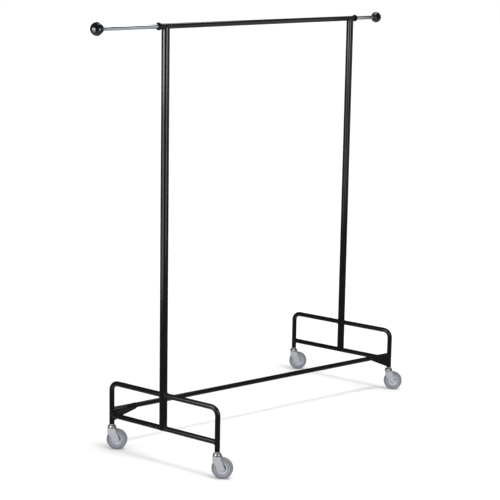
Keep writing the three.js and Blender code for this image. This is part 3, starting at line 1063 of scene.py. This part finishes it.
def add_caster(name):
    pivot, hub = (Vector(JOINTS[f"{joint}_{name}"]["pos_m"]) for joint in ("swivel", "wheel_spin"))
    trailing = math.atan2(hub.y - pivot.y, hub.x - pivot.x)
    place = Matrix.Translation((pivot.x, pivot.y, 0)) @ Matrix.Rotation(trailing, 4, "Z")
    on_axle = facing(hub, JOINTS[f"wheel_spin_{name}"]["axis"])
    body = f"swivel_{name}"

    shape = moved(fork_shape(), place)
    fork = piece(f"fork_{name}_pressing", shape, "zinc", body, [f"caster_fork_{name}"])
    bevelled(fork)
    piece(f"fork_boss_{name}", moved(turned_mm(BOSS, 0.5, 3), place), "zinc", body)
    add_turnings(AXLE_TURNINGS, name, on_axle, body)
    add_wheel(name, on_axle)
    add_turnings(CASTER_TURNINGS, name, place, "frame")


for caster_name in CASTERS:
    add_caster(caster_name)


# ---- Camera ----

CAMERA_PLACE = Vector((-4.1408, MID_Y - 2.7882, 1.7599))
CAMERA_AZIMUTH = math.radians(-55.852)
CAMERA_ELEVATION = math.radians(9.527)
CAMERA_ROLL = math.radians(0.98)
CAMERA_LENS = 95.233
CAMERA_SENSOR = 36
CAMERA_SHIFT = -0.12


def add_camera():
    sin_a, cos_a = math.sin(CAMERA_AZIMUTH), math.cos(CAMERA_AZIMUTH)
    sin_e, cos_e = math.sin(CAMERA_ELEVATION), math.cos(CAMERA_ELEVATION)
    back = Vector((sin_a * cos_e, -cos_a * cos_e, sin_e))
    right = Vector((cos_a, sin_a, 0))
    up = back.cross(right)
    rolled_right = right * math.cos(CAMERA_ROLL) + up * math.sin(CAMERA_ROLL)
    rolled_up = up * math.cos(CAMERA_ROLL) - right * math.sin(CAMERA_ROLL)
    axes = Matrix((rolled_right, rolled_up, back)).transposed().to_4x4()
    data = bpy.data.cameras.new("camera")
    data.sensor_width = CAMERA_SENSOR
    data.lens = CAMERA_LENS
    data.shift_y = CAMERA_SHIFT
    camera = bpy.data.objects.new("camera", data)
    camera.matrix_world = Matrix.Translation(CAMERA_PLACE) @ axes
    bpy.context.scene.collection.objects.link(camera)
    bpy.context.scene.camera = camera


add_camera()


# ---- Studio ----

FLOOR_RADIUS = 40
FLOOR_SIDES = 64
FLOOR_Z = -0.2 * MM             # just under the tyres

# Brightness that reflections see, from straight down (0) to straight up (1)
REFLECTED = ((0, 0.85), (0.2, 0.65), (0.33, 0.12), (0.5, 0.08), (0.75, 0.08), (1, 0.12))
FILL = 0.86                     # brightness that lights matt surfaces
BACKDROP = 1.0                  # brightness that the camera sees


def add_floor():
    turns = [2 * math.pi * i / FLOOR_SIDES for i in range(FLOOR_SIDES)]
    edge = [(FLOOR_RADIUS * math.cos(t), FLOOR_RADIUS * math.sin(t), FLOOR_Z) for t in turns]
    mesh = bpy.data.meshes.new("floor")
    mesh.from_pydata(edge, [], [tuple(range(FLOOR_SIDES))])
    floor = bpy.data.objects.new("floor", mesh)
    bpy.context.scene.collection.objects.link(floor)
    paint = Paint("floor_paper", (0.93, 0.93, 0.93), Specular_IOR_Level=0.1)
    paint.vary_roughness(paint.noise(3, 3), 0.85, 0.95)
    mesh.materials.append(paint.material)
    floor.visible_glossy = False


def add_world():
    """White backdrop, an even fill on matt surfaces, and a studio for reflections that is
    bright below and dark above."""
    world = bpy.data.worlds.new("studio")
    bpy.context.scene.world = world
    world.use_nodes = True
    nodes, links = world.node_tree.nodes, world.node_tree.links
    place = nodes.new("ShaderNodeTexCoord")
    split = nodes.new("ShaderNodeSeparateXYZ")
    links.new(place.outputs["Generated"], split.inputs["Vector"])
    height = nodes.new("ShaderNodeMapRange")
    height.inputs["From Min"].default_value = -1
    links.new(split.outputs["Z"], height.inputs["Value"])
    reflected = nodes.new("ShaderNodeValToRGB")
    set_stops(reflected, [(position, (level, level, level)) for position, level in REFLECTED])
    links.new(height.outputs["Result"], reflected.inputs["Fac"])

    path = nodes.new("ShaderNodeLightPath")
    shiny = nodes.new("ShaderNodeMix")
    shiny.inputs["A"].default_value = FILL
    links.new(path.outputs["Is Glossy Ray"], shiny.inputs["Factor"])
    links.new(reflected.outputs["Color"], shiny.inputs["B"])
    seen = nodes.new("ShaderNodeMix")
    seen.inputs["B"].default_value = BACKDROP
    links.new(path.outputs["Is Camera Ray"], seen.inputs["Factor"])
    links.new(shiny.outputs["Result"], seen.inputs["A"])
    background = nodes["Background"]
    background.inputs["Color"].default_value = (1, 1, 1, 1)
    links.new(seen.outputs["Result"], background.inputs["Strength"])


def add_light(name, kind, place, target, energy, **settings):
    data = bpy.data.lights.new(name, kind)
    data.energy = energy
    for key, value in settings.items():
        setattr(data, key, value)
    light = bpy.data.objects.new(name, data)
    light.location = place
    light.rotation_mode = "QUATERNION"
    light.rotation_quaternion = (Vector(place) - Vector(target)).to_track_quat("Z", "Y")
    light.visible_camera = False
    bpy.context.scene.collection.objects.link(light)
    return light


def softbox(name, place, target, width, tall, radiance):
    """Panel of an even brightness that faces a point."""
    power = radiance * math.pi * width * tall
    settings = {"shape": "RECTANGLE", "size": width, "size_y": tall}
    return add_light(name, "AREA", place, target, power, **settings)


REFLECTION_PANELS = (           # name, place, faces, width, height, brightness
    ("panel_left_high", (-2.14, 0.34, 1.57), (-0.62, -0.15, 1.57), 1.4, 0.84, 13.0),
    ("panel_left_low", (-2.14, 0.34, 0.68), (-0.62, -0.15, 0.68), 1.4, 0.94, 4.0),
    ("panel_right_high", (-0.93, -2.15, 1.5), (-0.56, 0.02, 1.5), 1.05, 0.8, 9.5),
    ("panel_right_low", (-0.93, -2.15, 0.7), (-0.56, 0.02, 0.7), 1.05, 0.8, 4.0),
    ("panel_top", (0.1, -0.3, 3.4), (0.1, 0, 0), 1.6, 1.2, 2.5),
    ("panel_top_right", (1.5, 0.4, 3.4), (0.9, 0, 1.5), 1.0, 1.0, 4.5),
    ("panel_side", (3.2, -2.6, 1.3), (0, 0, 1.3), 3.0, 2.2, 0.85),
)
SUNS = (                        # name, towards the light, strength, degrees across
    ("key", (0, -0.36, 1), 1.0, 11),
    ("soft_light", (0.1, -1, 0.9), 0.3, 50),
)

add_floor()
add_world()
# panels show in reflections only, and suns light matt surfaces only
for panel_name, *panel in REFLECTION_PANELS:
    softbox(panel_name, *panel).visible_diffuse = False
for sun_name, towards, strength, spread in SUNS:
    sun = add_light(sun_name, "SUN", towards, (0, 0, 0), strength, angle=math.radians(spread))
    sun.visible_glossy = False
bpy.context.scene.view_settings.view_transform = "Standard"
